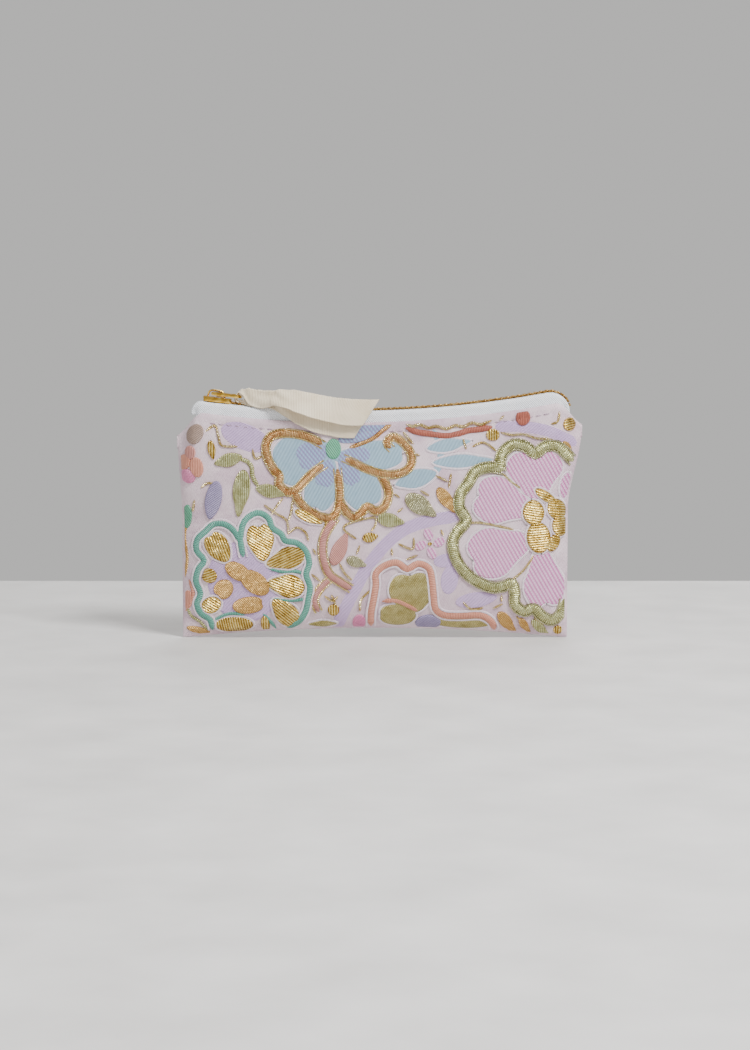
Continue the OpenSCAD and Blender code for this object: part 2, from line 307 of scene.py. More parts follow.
def object_coordinates(tree, turn=0.0):
    """Object coordinates in millimetres, turned about Y by an angle in degrees."""
    place = add_node(tree, "ShaderNodeTexCoord").outputs["Object"]
    return add_node(
        tree,
        "ShaderNodeMapping",
        Vector=place,
        Rotation=(0, math.radians(turn), 0),
        Scale=(1000, 1000, 1000),
    ).outputs["Vector"]


# Blender's wave texture runs through this many radians for each unit at a scale of 1
WAVE_SCALE = 20


def ribs(tree, spacing, turn=None, waver=0.0):
    """A wave of one cycle per rib, across the piece's own length or at an angle on the wall."""
    cycles = math.tau / WAVE_SCALE / spacing
    if turn is None:
        along = add_node(tree, "ShaderNodeAttribute", {"attribute_name": "along"}).outputs["Fac"]
        vector = add_node(tree, "ShaderNodeCombineXYZ", X=along).outputs["Vector"]
    else:
        vector = object_coordinates(tree, turn)
    return add_node(
        tree,
        "ShaderNodeTexWave",
        {"wave_type": "BANDS", "bands_direction": "X"},
        Vector=vector,
        Scale=cycles,
        Distortion=waver,
        Detail=1.0,
        Detail_Scale=1.5,
    ).outputs["Fac"]


def bump(tree, height, distance, normal=None):
    node = add_node(tree, "ShaderNodeBump", Height=height, Strength=1.0, Distance=distance * MM)
    if normal is not None:
        tree.links.new(normal, node.inputs["Normal"])
    return node.outputs["Normal"]


def speckle(tree, size, detail=2.0, turn=0.0):
    """Noise with features of a size in millimetres."""
    return add_node(
        tree,
        "ShaderNodeTexNoise",
        Vector=object_coordinates(tree, turn),
        Scale=1 / size,
        Detail=detail,
    ).outputs["Fac"]


def finish_with(tree, **inputs):
    shader = add_node(tree, "ShaderNodeBsdfPrincipled", **inputs)
    add_node(tree, "ShaderNodeOutputMaterial", Surface=shader.outputs["BSDF"])
    return shader


def satin_thread(name, dark, light, spacing=0.55, turn=None, stripe=None, roughness=0.42):
    """Silk-like satin stitch: close ribs whose bump catches light. The colour is also painted lighter along
    each rib and darker between the threads, a painted highlight and shade.
    stripe adds broad darker stripes at (spacing in mm, angle, colour)."""
    material, tree = new_material(name)
    thread = ribs(tree, spacing, turn, waver=0.6)
    patchy = speckle(tree, 3.0)
    tone = weighted(tree, patchy, 0.5, 0.1)
    # the rib wave in the colour is a painted highlight on each rib and painted shade between the ribs
    tone = weighted(tree, thread, 0.45, tone)
    colour = ramp(tree, tone, [(0.2, dark), (0.75, light)])
    if stripe:
        wide = ribs(tree, stripe[0], stripe[1], waver=0.3)
        share = add_node(
            tree,
            "ShaderNodeMapRange",
            Value=wide,
            From_Min=0.35,
            From_Max=0.6,
            To_Min=0.0,
            To_Max=1.0,
        )
        colour = add_node(
            tree,
            "ShaderNodeMix",
            {"data_type": "RGBA"},
            _0=share.outputs["Result"],
            _6=colour,
            _7=linear(stripe[2]),
        ).outputs[2]
    finish_with(
        tree,
        Base_Color=colour,
        Roughness=roughness,
        Sheen_Weight=0.08,
        Sheen_Roughness=0.4,
        Normal=bump(tree, thread, 0.2),
    )
    return material


def lame_thread(name, dark, middle, light, spacing=0.6, turn=None, roughness=0.3, metallic=0.9):
    """Metal-wrapped thread: flat foil on a core. Its colour carries painted glints from a fine speckle and
    painted shade beside each rib, over a random broad mottle.
    """
    material, tree = new_material(name)
    thread = ribs(tree, spacing, turn, waver=1.2)
    glint = speckle(tree, 0.55, 3.0)
    broad = speckle(tree, 2.6, 2.0)
    # painted shade between the ribs and painted glints from the fine speckle; the broad noise is a random
    # mottle
    tone = weighted(tree, thread, 0.4, -0.38)
    tone = weighted(tree, glint, 0.7, tone)
    tone = weighted(tree, broad, 0.75, tone)
    colour = ramp(tree, tone, [(0.22, dark), (0.5, middle), (0.8, light)])
    crumple = weighted(tree, broad, 2.6, thread)
    height = weighted(tree, glint, 0.7, crumple)
    finish_with(
        tree,
        Base_Color=colour,
        Metallic=metallic,
        Roughness=roughness,
        Normal=bump(tree, height, 0.26),
    )
    return material


def satin_ground():
    """Jacquard satin ground: fine floats with a pale pink-lilac warp, so it glows and shifts in patches.
    The real floats are 0.15 mm apart and are drawn at 0.45 mm so that they show."""
    material, tree = new_material("jacquard_satin_ground")
    weft = ribs(tree, 0.45, 68.0, waver=0.8)
    warp = ribs(tree, 0.6, -24.0, waver=0.8)
    cross = add_node(tree, "ShaderNodeMath", {"operation": "MULTIPLY"}, _0=weft, _1=warp)
    patch = speckle(tree, 11.0, 3.0)
    fleck = speckle(tree, 0.8, 2.0)
    tone = weighted(tree, fleck, 0.35, -0.17)
    tone = add_node(tree, "ShaderNodeMath", {"operation": "ADD"}, _0=patch, _1=tone).outputs[0]
    settings = bpy.context.scene.pouch_colours
    colour = ramp(tree, tone, [(0.3, "#BFA5B4"), (0.5, "#D2BDC7"), (0.7, "#E0CFD5")])
    tinted = add_node(
        tree,
        "ShaderNodeMix",
        {"data_type": "RGBA", "blend_type": "MULTIPLY"},
        _0=0.35,
        _6=colour,
        _7=(*settings.ground_tint, 1.0),
    )
    finish_with(
        tree,
        Base_Color=tinted.outputs[2],
        Roughness=0.46,
        Sheen_Weight=0.12,
        Sheen_Roughness=0.35,
        Normal=bump(tree, cross.outputs[0], 0.12),
    )
    return material


def woven_cloth(name, dark, light, spacing, roughness=0.8, depth=0.08, turn=0.0):
    """Plain woven cotton or polyester: crossing threads, matt, with a little fuzz in the sheen."""
    material, tree = new_material(name)
    weft = ribs(tree, spacing, turn + 90, waver=0.3)
    warp = ribs(tree, spacing, turn, waver=0.3)
    cross = add_node(tree, "ShaderNodeMath", {"operation": "ADD"}, _0=weft, _1=warp)
    half = add_node(tree, "ShaderNodeMath", {"operation": "MULTIPLY"}, _0=cross.outputs[0], _1=0.5)
    patch = speckle(tree, 6.0)
    tone = weighted(tree, patch, 0.5, half.outputs[0])
    finish_with(
        tree,
        Base_Color=ramp(tree, tone, [(0.25, dark), (0.9, light)]),
        Roughness=roughness,
        Sheen_Weight=0.25,
        Normal=bump(tree, cross.outputs[0], depth),
    )
    return material


def grosgrain():
    """Grosgrain ribbon: rounded weft ribs under a fine silk warp, with soft satin light along it."""
    material, tree = new_material("ivory_grosgrain_ribbon")
    rib = ribs(tree, 0.62, None, waver=0.0)
    patch = speckle(tree, 7.0)
    tone = weighted(tree, rib, 0.4, 0.1)
    tone = weighted(tree, patch, 0.7, tone)
    finish_with(
        tree,
        Base_Color=ramp(tree, tone, [(0.25, "#C9B693"), (0.8, "#E8DAC0")]),
        Roughness=0.55,
        Sheen_Weight=0.4,
        Sheen_Roughness=0.4,
        Normal=bump(tree, rib, 0.09),
    )
    return material


def plated_gold():
    """Zinc casting in bright gold plate: mirror-like, slightly wavy from polishing."""
    material, tree = new_material("bright_gold_plate")
    wave = speckle(tree, 2.2, 2.0)
    fine = speckle(tree, 0.35, 2.0)
    height = weighted(tree, fine, 0.15, wave)
    finish_with(
        tree,
        Base_Color=ramp(tree, wave, [(0.3, "#B98A2C"), (0.5, "#DDB04A"), (0.7, "#F0CF6E")]),
        Metallic=1.0,
        Roughness=0.17,
        Normal=bump(tree, height, 0.12),
    )
    return material


def antique_brass():
    """Tumbled brass teeth: darkened, then rubbed bright in random patches."""
    material, tree = new_material("antique_brass_teeth")
    wear = speckle(tree, 0.7, 3.0)
    finish_with(
        tree,
        Base_Color=ramp(tree, wear, [(0.3, "#6A4B22"), (0.5, "#A47B3E"), (0.68, "#D9B878")]),
        Metallic=1.0,
        Roughness=0.34,
        Normal=bump(tree, wear, 0.08),
    )
    return material


def plain_paint(name, low, high, grain, roughness=0.6):
    """Matt stage surface with a faint mottle."""
    material, tree = new_material(name)
    colour = ramp(tree, speckle(tree, grain, 3.0), [(0.3, low), (0.7, high)])
    finish_with(tree, Base_Color=colour, Roughness=roughness)
    return material


PALETTE = {}


def palette():
    """All the finishes, made once."""
    if PALETTE:
        return PALETTE
    PALETTE.update(
        ground=satin_ground(),
        lavender=satin_thread("lavender_satin_weft", "#AE8FC0", "#C6AAD3", 0.5, 68.0, roughness=0.5),
        blue=satin_thread("pale_blue_satin_weft", "#7C9FB8", "#A0BDCE", 0.5, 12.0, roughness=0.5),
        blue_stripe=satin_thread(
            "blue_satin_lilac_striped", "#84A4CA", "#9DB9D6", 0.5, 12.0,
            stripe=(1.2, 40.0, "#8C86B6"),
        ),
        pink_stripe=satin_thread(
            "rose_satin_striped", "#BC5C9C", "#CF7FB4", 0.5, 68.0,
            stripe=(1.3, 30.0, "#E3B9D6"),
        ),
        pink=satin_thread("rose_satin_weft", "#C4628F", "#DA86AC", 0.5, 20.0),
        blush=satin_thread("blush_satin_border", "#D9C2D2", "#EFE2E9", 0.5),
        teal=satin_thread("teal_satin_stitch", "#2E7868", "#62A391", 0.62),
        green=satin_thread("green_satin_knot", "#2C7354", "#5DA583", 0.7, 35.0),
        coral=satin_thread("coral_satin_stitch", "#B06650", "#D6937B", 0.62),
        salmon=satin_thread("salmon_satin_stitch", "#9E5D59", "#C58A7F", 0.6),
        rust=satin_thread("rust_satin_stitch", "#7B372D", "#AC604D", 0.6),
        violet=satin_thread("grey_violet_satin", "#6C6186", "#9488AC", 0.6, 60.0),
        brown=satin_thread("taupe_satin", "#7C6558", "#A68D80", 0.6, 60.0),
        gold=lame_thread("gold_lame_ribbed", "#6B4C12", "#B8933A", "#F0D98F", 0.9),
        # the near-white top colour is a painted highlight, for the twig gold reflecting the key light
        gold_fine=lame_thread("gold_lame_twig", "#94742F", "#D6B765", "#FFF4CC", 0.5, roughness=0.22),
        copper=lame_thread("copper_gold_lame_cord", "#94602F", "#BC8450", "#E2BE86", 0.6, roughness=0.36),
        olive=lame_thread("olive_iridescent_lame", "#848150", "#ADAA70", "#DADCAB", 0.7, roughness=0.36),
        khaki=lame_thread("khaki_gold_lame", "#8E8246", "#A99C5E", "#C5BA82", 0.6, 30.0, 0.42, 0.75),
        ochre=lame_thread("ochre_satin_lame", "#A2783A", "#B98D4C", "#D2AC6C", 0.6, 40.0, 0.42, 0.7),
        silver=lame_thread("champagne_lame_leaf", "#87825A", "#AEA97E", "#DCD9B4", 0.6, 25.0),
        lining=woven_cloth("plain_cotton_lining", "#CDBFA8", "#E6DAC6", 0.5),
        interfacing=woven_cloth("needled_interfacing", "#CFCFC9", "#E4E4E0", 0.9, 0.95, 0.15),
        tape=woven_cloth("white_woven_zip_tape", "#D5DAE2", "#F2F4F8", 0.6, 0.72, 0.12, 45.0),
        thread=woven_cloth("spun_polyester_thread", "#94788F", "#BFA5B8", 0.3, 0.6),
        ribbon=grosgrain(),
        plate=plated_gold(),
        brass=antique_brass(),
    )
    return PALETTE


# ---- motifs: closed patches and raised strands, drawn square on and then laid on the cloth ----
def smooth_route(points, steps, closed=False):
    """A Catmull-Rom curve through the points."""
    n = len(points)
    out = []
    for i in range(n if closed else n - 1):
        ends = [points[(i + k) % n] if closed else points[min(n - 1, max(0, i + k))] for k in (-1, 0, 1, 2)]
        a, b, c, d = (Vector(p) for p in ends)
        for step in range(steps):
            t = step / steps
            bend = (2 * a - 5 * b + 4 * c - d) * t**2
            out.append(0.5 * (2 * b + (c - a) * t + bend + (3 * b - a - 3 * c + d) * t**3))
    if not closed:
        out.append(Vector(points[-1]))
    return out


def petal_outline(x, z, length, width, angle, notch=0.0, point=0.0, tip=0.0, grow=0.0, count=36):
    """An oval along an angle; notch dents its far end, point draws out its near end and tip its far end."""
    turn = math.radians(angle)
    out = []
    for i in range(count):
        a = math.tau * i / count
        from_tip = min(a, math.tau - a)
        from_base = math.pi - from_tip
        r = 1 - notch * math.exp(-((from_tip / 0.42) ** 2)) + tip * math.exp(-((from_tip / 0.4) ** 2))
        waist = 0.5 * point * math.exp(-(((from_base - 0.9) / 0.5) ** 2))
        r += point * math.exp(-((from_base / 0.5) ** 2)) - waist
        r -= 0.35 * tip * math.exp(-(((from_tip - 0.8) / 0.5) ** 2))
        along = (length / 2 + grow) * r * math.cos(a)
        across = (width / 2 + grow) * r * math.sin(a)
        out.append(
            (
                x + along * math.cos(turn) - across * math.sin(turn),
                z + along * math.sin(turn) + across * math.cos(turn),
            )
        )
    return out


PATCH_RINGS = ((1.0, 0.0), (0.975, 0.62), (0.92, 0.88), (0.78, 0.98), (0.5, 1.0), (0.25, 1.0))
PATCH_RISE = 0.7


def add_patch(bm, outline, height, rib_angle=0.0):
    """A low pillow over a closed outline, with its underside closed. Flat coordinates are x, lift, z."""
    along = bm.verts.layers.float.get("along") or bm.verts.layers.float.new("along")
    cx = sum(p[0] for p in outline) / len(outline)
    cz = sum(p[1] for p in outline) / len(outline)
    before = set(bm.verts)
    face = bm.faces.new([bm.verts.new((x, -0.25, z)) for x, z in outline])
    scale = 1.0
    for share, rise in PATCH_RINGS:
        face = bmesh.ops.extrude_discrete_faces(bm, faces=[face])["faces"][0]
        for vertex in face.verts:
            vertex.co.x = cx + (vertex.co.x - cx) * share / scale
            vertex.co.z = cz + (vertex.co.z - cz) * share / scale
            vertex.co.y = PATCH_RISE * height * rise
        scale = share
    bmesh.ops.poke(bm, faces=[face])
    turn = math.radians(rib_angle)
    for vertex in bm.verts:
        if vertex not in before:
            vertex[along] = vertex.co.x * math.cos(turn) + vertex.co.z * math.sin(turn)


CORD_RISE = 0.62


def beside(route, offset):
    """A route's points moved sideways."""
    out = []
    for i, place in enumerate(route):
        run = route[min(i + 1, len(route) - 1)] - route[max(i - 1, 0)]
        moved = place + Vector((-run.z, 0, run.x)).normalized() * offset
        out.append((moved.x, moved.z))
    return out


def add_strand(bm, points, width, height, closed=False, taper=0.0, steps=5):
    """A raised cord that follows a route on the wall. Its section is low, with a broad top."""
    along = bm.verts.layers.float.get("along") or bm.verts.layers.float.new("along")
    route = smooth_route([(x, 0, z) for x, z in points], steps, closed)
    if closed:
        route.append(route[0])
    sides = 8
    total = sum((b - a).length for a, b in zip(route, route[1:]))
    length = 0.0
    rings = []
    for i, place in enumerate(route):
        run = route[min(i + 1, len(route) - 1)] - route[max(i - 1, 0)]
        if closed and i in (0, len(route) - 1):
            run = route[1] - route[-2]
        across = Vector((-run.z, 0, run.x)).normalized()
        if i:
            length += (place - route[i - 1]).length
        share = 1.0
        if taper:
            share = min(1.0, 0.25 + length / taper, 0.25 + (total - length) / taper)
        ring = bmesh.ops.create_circle(bm, segments=sides, radius=1.0)["verts"]
        for vertex in ring:
            sideways, rise = vertex.co.x, vertex.co.y
            vertex.co = place + across * sideways * share * width / 2
            vertex.co.y = CORD_RISE * height * share * math.sqrt(rise) if rise > 0 else rise * 0.2
            vertex[along] = length
        rings.append(ring)
    for a, b in zip(rings, rings[1:]):
        for k in range(sides):
            bm.faces.new((a[k], a[(k + 1) % sides], b[(k + 1) % sides], b[k]))
    bm.faces.new(rings[0])
    bm.faces.new(reversed(rings[-1]))


# Motifs end at these u and v, just inside the seams and the folded edge
SIDE_MARGIN, BOTTOM_MARGIN, TOP_MARGIN = 0.985, 0.012, 0.992
# On the back the pattern is upside down: the heights of a place on the two walls add up to this
TURNED_OVER = 86


def lay_on_cloth(bm, side, lift):
    """Clips flat pieces to the wall's edges and lays them on the outer cloth."""
    for vertex in bm.verts:
        x, z = vertex.co.x, vertex.co.z
        if side == BACK:
            z = TURNED_OVER - z
        u, v = wall_place(x, z)
        vertex.co = (u, vertex.co.y, v)
    margins = (
        ((SIDE_MARGIN, 0, 0), (1, 0, 0)),
        ((-SIDE_MARGIN, 0, 0), (-1, 0, 0)),
        ((0, 0, BOTTOM_MARGIN), (0, 0, -1)),
        ((0, 0, TOP_MARGIN), (0, 0, 1)),
    )
    for place, outward in margins:
        geometry = bm.verts[:] + bm.edges[:] + bm.faces[:]
        cut = bmesh.ops.bisect_plane(
            bm,
            geom=geometry,
            dist=1e-6,
            plane_co=place,
            plane_no=outward,
            clear_outer=True,
        )
        edges = [e for e in cut["geom_cut"] if isinstance(e, bmesh.types.BMEdge)]
        edges = [e for e in edges if e.is_valid and e.is_boundary]
        if edges:
            bmesh.ops.holes_fill(bm, edges=edges, sides=0)
    bmesh.ops.remove_doubles(bm, verts=bm.verts, dist=1e-7)
    for vertex in bm.verts:
        u, rise, v = vertex.co
        # a motif thins out where the seam takes it in
        thin = min(1.0, 0.1 + (SIDE_MARGIN - abs(u)) / 0.045, 0.1 + (v - BOTTOM_MARGIN) / 0.03)
        vertex.co = on_cloth(u, v, side, rise * thin + lift * min(1.0, 0.3 + thin))
    bmesh.ops.recalc_face_normals(bm, faces=bm.faces)


# Patches: finish, height, rib angle, then x, z, length, width, angle, notch, point, tip
LEAVES = (
    # blue flower
    ("blue", 0.5, 0, (-30.0, 67.0, 21, 19.5, 200, 0.24, 0.25)),
    ("blue", 0.5, 0, (-21.4, 56.6, 19.5, 12.4, 253, 0.24, 0.3)),
    ("blue", 0.5, 0, (-7.2, 57.0, 20, 14.5, 300, 0.24, 0.3)),
    ("blue", 0.5, 0, (-2.0, 68.6, 24, 11.2, 3, 0.14, 0.3)),
    ("blue_stripe", 0.62, 0, (-25.6, 68.6, 12, 11, 200, 0.2, 0.2)),
    ("blue_stripe", 0.62, 0, (-20.0, 61.4, 10.5, 8, 253, 0.2, 0.2)),
    ("blue_stripe", 0.62, 0, (-11.2, 62.4, 12, 7.5, 300, 0.2, 0.2)),
    ("blue_stripe", 0.62, 0, (-8.6, 68.8, 12, 6.4, 3, 0.1, 0.2)),
    ("blue_stripe", 0.4, 0, (-6.5, 77.2, 17, 6.5, 20, 0, 0.1, 0.2)),
    ("green", 1.0, 0, (-17.1, 71.0, 7.6, 5.8, 90)),
    # teal flower
    ("lavender", 0.3, 0, (-50.5, 21.5, 31, 27, 100)),
    ("gold", 0.9, 60, (-44.0, 37.8, 14, 10.5, 98, 0.34, 0.2)),
    ("gold", 0.9, 20, (-60.0, 35.0, 12.5, 9, 125, 0.28, 0.1)),
    ("gold", 0.9, 115, (-33.9, 30.8, 13.5, 8.5, 17, 0, 0.25)),
    ("gold", 0.9, 70, (-33.9, 20.3, 12.5, 9.3, -8, 0, 0.25)),
    ("gold", 0.9, 50, (-34.6, 9.6, 13, 8.6, -48, 0.28, 0.15)),
    ("gold", 0.8, 0, (-42.6, 5.4, 6.8, 3.4, 275, 0.15)),
    ("gold", 0.9, 10, (-54.2, 5.2, 14.5, 6.2, 182)),
    ("gold", 0.8, 60, (-62.7, 12.6, 8, 6.2, 205)),
    ("gold", 0.8, 110, (-63.2, 23.8, 6, 5.6, 160, 0.2)),
    ("ochre", 0.85, 0, (-52.6, 25.6, 10.5, 6.4, 148)),
    ("ochre", 0.9, 0, (-46.2, 21.4, 12.5, 8, -38)),
    ("ochre", 0.8, 0, (-58.0, 18.7, 8.2, 7.2, 230, 0.25)),
    ("ochre", 0.8, 0, (-48.6, 12.8, 12.5, 6.6, 8, 0.2)),
    # pink flower
    ("pink_stripe", 0.55, 0, (57.2, 63.4, 17, 21.5, 92, 0.4, 0.3)),
    ("pink_stripe", 0.55, 0, (43.6, 52.0, 20.5, 18, 165, 0.28, 0.3)),
    ("pink_stripe", 0.55, 0, (42.4, 32.8, 22, 19.5, 200, 0.26, 0.3)),
    ("pink_stripe", 0.55, 0, (61.2, 20.6, 21, 16, 277, 0.3, 0.3)),
    ("pink_stripe", 0.5, 0, (69.0, 57.5, 9.5, 4.6, 78, 0, 0.1)),
    ("gold", 1.6, 80, (56.8, 47.6, 9.5, 8, 100)),
    ("gold", 1.7, 95, (58.8, 38.2, 12, 9, 280)),
    ("gold", 1.3, 70, (61.3, 53.6, 9.5, 3.6, -35)),
    ("gold", 1.4, 80, (65.6, 48.6, 8.5, 7, -55)),
    ("gold", 1.4, 90, (67.0, 42.4, 8, 6.6, 280)),
    ("gold", 1.2, 70, (64.4, 36.0, 7, 4.6, 240)),
    # coral flower
    ("khaki", 0.7, 0, (11.8, 18.6, 16, 17, 96, 0.28, 0.1)),
    ("khaki", 0.8, 0, (6.4, 9.2, 14.5, 8.4, 178, 0.15)),
    ("khaki", 0.7, 0, (30.8, 6.2, 22, 5, -2, 0, 0, 0.1)),
    ("violet", 0.8, 0, (18.2, 6.2, 10, 6, 5)),
    ("pink", 0.6, 0, (-7.6, 6.2, 6, 5, 80)),
    # blue leaves
    ("blue", 0.3, 0, (25.0, 72.4, 14, 5, 10, 0, 0.1, 0.3)),
    ("blue", 0.3, 0, (30.0, 66.6, 19, 5.2, 3, 0, 0.1, 0.3)),
    ("blue", 0.3, 0, (13.6, 60.2, 14, 7, 196, 0, 0.1, 0.2)),
    # lavender ground areas and leaves
    ("lavender", 0.15, 0, (-49.5, 75.4, 19, 9.5, -22)),
    ("lavender", 0.2, 0, (25.9, 22.6, 11, 6.4, 82)),
    ("lavender", 0.2, 0, (35.6, 14.8, 15, 6, 8, 0, 0, 0.1)),
    ("lavender", 0.2, 0, (24.2, 29.8, 8.5, 5, 10)),
    # olive leaves on their stem
    ("olive", 0.9, 0, (-55.6, 67.0, 9.5, 5.2, 195, 0, 0.1, 0.2)),
    ("olive", 0.8, 0, (-51.0, 55.8, 15.5, 6.6, 263, 0, 0, 0.3)),
    ("olive", 0.9, 0, (-40.6, 55.6, 9.6, 5.2, -14, 0, 0.1, 0.3)),
    # small leaves and buds
    ("gold", 0.8, 0, (-62.0, 71.0, 6.6, 3, 280, 0, 0, 0.2)),
    ("silver", 0.9, 0, (14.6, 50.6, 12, 7.2, -34, 0, 0, 0.3)),
    ("ochre", 0.9, 0, (24.3, 52.8, 10, 4.8, -55, 0, 0, 0.3)),
    ("olive", 0.9, 0, (3.6, 44.9, 9, 5.4, -10, 0, 0, 0.3)),
    ("gold", 0.9, 60, (-26.6, 46.2, 10.5, 4, -25, 0, 0, 0.2)),
    ("gold", 0.8, 20, (-3.7, 38.5, 5.5, 3.8, 10, 0, 0, 0.2)),
    ("silver", 0.8, 0, (-9.0, 29.4, 7, 4.2, -20, 0, 0, 0.3)),
    ("salmon", 0.9, 40, (-15.0, 33.6, 12, 5.6, 66, 0, 0, 0.2)),
    ("rust", 0.9, 0, (52.9, 82.6, 6, 5.4, 80, 0.1)),
    ("gold", 0.9, 100, (70.2, 80.0, 5, 5, -40)),
    ("gold", 0.9, 0, (41.8, 76.2, 4.6, 5, 270, 0.1)),
    ("ochre", 0.7, 0, (69.2, 71.4, 5.6, 3, -60, 0, 0, 0.2)),
    ("gold", 0.9, 0, (-17.1, 11.1, 4.4, 4.4, 0)),
    # left edge
    ("coral", 0.9, 0, (-67.6, 64.2, 7.5, 5, 100)),
    ("pink", 0.8, 30, (-71.0, 60.8, 6, 5, 150)),
    ("coral", 0.8, 0, (-72.4, 66.0, 6, 5, 60)),
    ("salmon", 0.8, 0, (-70.0, 69.6, 5, 4, 90)),
    ("violet", 0.9, 0, (-61.4, 52.4, 14, 6.2, 258, 0, 0, 0.1)),
    ("green", 0.6, 0, (-71.6, 45.6, 9, 4, 85)),
    ("coral", 0.7, 0, (-71.8, 14.5, 7, 3.6, 80)),
    ("ochre", 0.6, 0, (-67.8, 2.8, 9, 2.6, -12)),
    ("brown", 0.6, 0, (-68.2, 76.4, 8, 6, 60)),
    # bottom right leaves
    ("ochre", 0.9, 0, (47.2, 6.3, 9.6, 4.6, 128, 0, 0.3)),
    ("ochre", 0.8, 0, (54.0, 5.0, 6.5, 3, 125, 0, 0.3)),
    ("olive", 0.8, 0, (59.8, 3.9, 8.6, 3.6, 135, 0, 0.3)),
    ("gold", 0.9, 0, (66.6, 2.9, 3.4, 3.4, 0)),
    ("khaki", 0.6, 0, (-21.2, 5.6, 9, 2.8, 2, 0, 0.2, 0.2)),
)

# The thin thread laid along both edges of a broad cord. The blush borders are woven; the gold and champagne
# threads are partly a real outline and partly painted glint along the cord's edges.
EDGE_THREADS_AND_GLINTS = {
    "copper": "gold_fine",
    "olive": "silver",
    "teal": "blush",
    "coral": "blush",
    "salmon": "gold_fine",
}

# Small rose: four petals round a gold eye
ROSE_X, ROSE_Z, ROSE_REACH = 18.6, 36.1, 3.5

